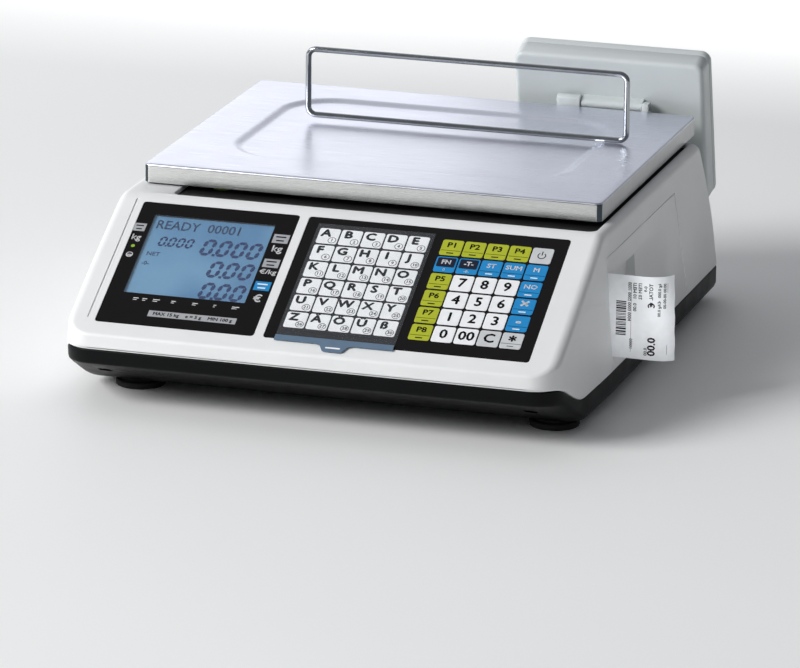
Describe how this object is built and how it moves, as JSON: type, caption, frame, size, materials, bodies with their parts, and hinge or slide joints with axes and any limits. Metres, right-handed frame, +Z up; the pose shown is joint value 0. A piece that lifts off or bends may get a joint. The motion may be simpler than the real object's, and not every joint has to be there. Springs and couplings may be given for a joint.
{
  "type": "retail price scale",
  "caption": "Countertop price scale: steel pan with wire guard rail, sloped keypad and LCD panel, receipt printer behind a side door, tilting customer display, levelling feet.",
  "frame": {"origin": "centre of the bounding box on the surface that the feet stand on", "axes": "+Z up, -Y towards the operator, +X to the operator's right (printer door side)"},
  "size_m": [0.4252, 0.4869, 0.2004],
  "materials": {
    "housing_white": "fine-textured moulded ABS",
    "base_black": "fine-textured black ABS",
    "window_black": "clear acrylic with a black printed border",
    "lcd_panel": "back-lit liquid crystal panel",
    "overlay_print": "printed polyester membrane with embossed keys",
    "card_paper": "printed card",
    "clear_film": "clear flexible film with a tinted lower edge",
    "circuit_board": "solder-masked circuit board",
    "pan_steel": "satin stainless sheet",
    "chrome_wire": "bright chromed wire",
    "cast_spider": "die-cast",
    "cell_aluminium": "anodised bar",
    "zinc_steel": "zinc plated",
    "stud_rubber": "rubber sleeve",
    "vial_green": "clear vial",
    "transformer_iron": "varnished core and winding",
    "port_shell": "socket block",
    "battery_case": "sealed battery case",
    "frame_steel": "pressed steel chassis",
    "head_ceramic": "thermal print head",
    "gear_nylon": "moulded gear",
    "pinion_brass": "cut brass",
    "motor_can": "motor can",
    "thermal_paper": "thermal receipt paper",
    "spindle_plastic": "moulded spindle",
    "latch_grey": "moulded latch",
    "display_grey": "fine-textured light grey ABS",
    "display_window": "tinted window"
  },
  "bodies": {
    "chassis": {"upper_housing": "housing_white", "base_tray": "base_black", "dust_cover": "base_black", "battery_cover": "base_black", "mains_inlet": "base_black", "lcd_window": "window_black", "lcd_module": "lcd_panel", "keypad_overlay": "overlay_print", "preset_card": "card_paper", "keypad_board": "circuit_board", "main_board": "circuit_board", "power_board": "circuit_board", "pan_spider": "cast_spider", "load_cell": "cell_aluminium", "load_cell_base_spacer": "cell_aluminium", "load_cell_top_spacer": "cell_aluminium", "overload_stop_1": "zinc_steel", "overload_stop_2": "zinc_steel", "overload_stop_3": "zinc_steel", "overload_stop_4": "zinc_steel", "head_spring": "zinc_steel", "door_hinge_pin": "zinc_steel", "tilt_pin": "zinc_steel", "pan_stud_1": "stud_rubber", "pan_stud_2": "stud_rubber", "pan_stud_3": "stud_rubber", "pan_stud_4": "stud_rubber", "level_vial": "vial_green", "transformer": "transformer_iron", "interface_ports": "port_shell", "battery": "battery_case", "printer_frame": "frame_steel", "thermal_head": "head_ceramic", "stepper_motor": "motor_can", "paper_web": "thermal_paper", "roll_spindle": "spindle_plastic", "display_bracket": "display_grey"},
    "pan": {"weighing_pan": "pan_steel", "guard_rail": "chrome_wire"},
    "card_flap": {"card_cover": "clear_film"},
    "door": {"printer_door": "housing_white", "receipt_strip": "thermal_paper"},
    "latch": {"door_latch": "latch_grey"},
    "platen": {"platen_roller": "stud_rubber", "platen_gear": "gear_nylon"},
    "idler": {"idler_gear": "gear_nylon"},
    "pinion": {"motor_pinion": "pinion_brass"},
    "roll": {"paper_roll": "thermal_paper"},
    "customer_display": {"display_front_cover": "display_grey", "display_rear_cover": "display_grey", "display_glass": "display_window", "customer_board": "circuit_board"},
    "foot_front_left": {"foot_1": "stud_rubber"},
    "foot_front_right": {"foot_2": "stud_rubber"},
    "foot_rear_left": {"foot_3": "stud_rubber"},
    "foot_rear_right": {"foot_4": "stud_rubber"}
  },
  "joints": [
    {"name": "pan_lift", "type": "slide", "parent": "chassis", "child": "pan", "axis": [0, 0, 1], "range_m": [0, 0.022]},
    {"name": "card_cover_hinge", "type": "hinge", "parent": "chassis", "child": "card_flap", "pos_m": [-0.00225, -0.13009, 0.1222], "axis": [-1, 0, 0], "range_deg": [0, 105]},
    {"name": "printer_door_hinge", "type": "hinge", "parent": "chassis", "child": "door", "pos_m": [0.16647, 0.07821, 0.07], "axis": [-0.0771, 0, 0.997], "range_deg": [0, 95]},
    {"name": "door_latch_slide", "type": "slide", "parent": "door", "child": "latch", "axis": [0, 1, 0], "range_m": [0, 0.005], "stiffness_N_per_m": 200, "springref_m": -0.002},
    {"name": "paper_roll_turn", "type": "hinge", "parent": "chassis", "child": "roll", "pos_m": [0.1194, 0.02221, 0.068], "axis": [0, 0, 1], "continuous": true},
    {"name": "platen_turn", "type": "hinge", "parent": "door", "child": "platen", "pos_m": [0.1554, -0.10359, 0.068], "axis": [0, 0, 1], "continuous": true},
    {"name": "idler_turn", "type": "hinge", "parent": "chassis", "child": "idler", "pos_m": [0.13838, -0.09254, 0.028], "axis": [0, 0, 1], "continuous": true},
    {"name": "pinion_turn", "type": "hinge", "parent": "chassis", "child": "pinion", "pos_m": [0.12128, -0.09254, 0.028], "axis": [0, 0, 1], "continuous": true},
    {"name": "display_tilt", "type": "hinge", "parent": "chassis", "child": "customer_display", "pos_m": [0.08241, 0.19021, 0.146], "axis": [1, 0, 0], "range_deg": [-10, 15]},
    {"name": "foot_front_left_turn", "type": "hinge", "parent": "chassis", "child": "foot_front_left", "pos_m": [-0.17059, -0.16779, 0.005], "axis": [0, 0, 1], "continuous": true},
    {"name": "foot_front_right_turn", "type": "hinge", "parent": "chassis", "child": "foot_front_right", "pos_m": [0.14341, -0.16779, 0.005], "axis": [0, 0, 1], "continuous": true},
    {"name": "foot_rear_left_turn", "type": "hinge", "parent": "chassis", "child": "foot_rear_left", "pos_m": [-0.17059, 0.14921, 0.005], "axis": [0, 0, 1], "continuous": true},
    {"name": "foot_rear_right_turn", "type": "hinge", "parent": "chassis", "child": "foot_rear_right", "pos_m": [0.14341, 0.14921, 0.005], "axis": [0, 0, 1], "continuous": true}
  ],
  "couplings": [
    {"joint": "platen_turn", "follows": "paper_roll_turn", "ratio": -4.5},
    {"joint": "idler_turn", "follows": "paper_roll_turn", "ratio": 3},
    {"joint": "pinion_turn", "follows": "paper_roll_turn", "ratio": -7.5}
  ]
}
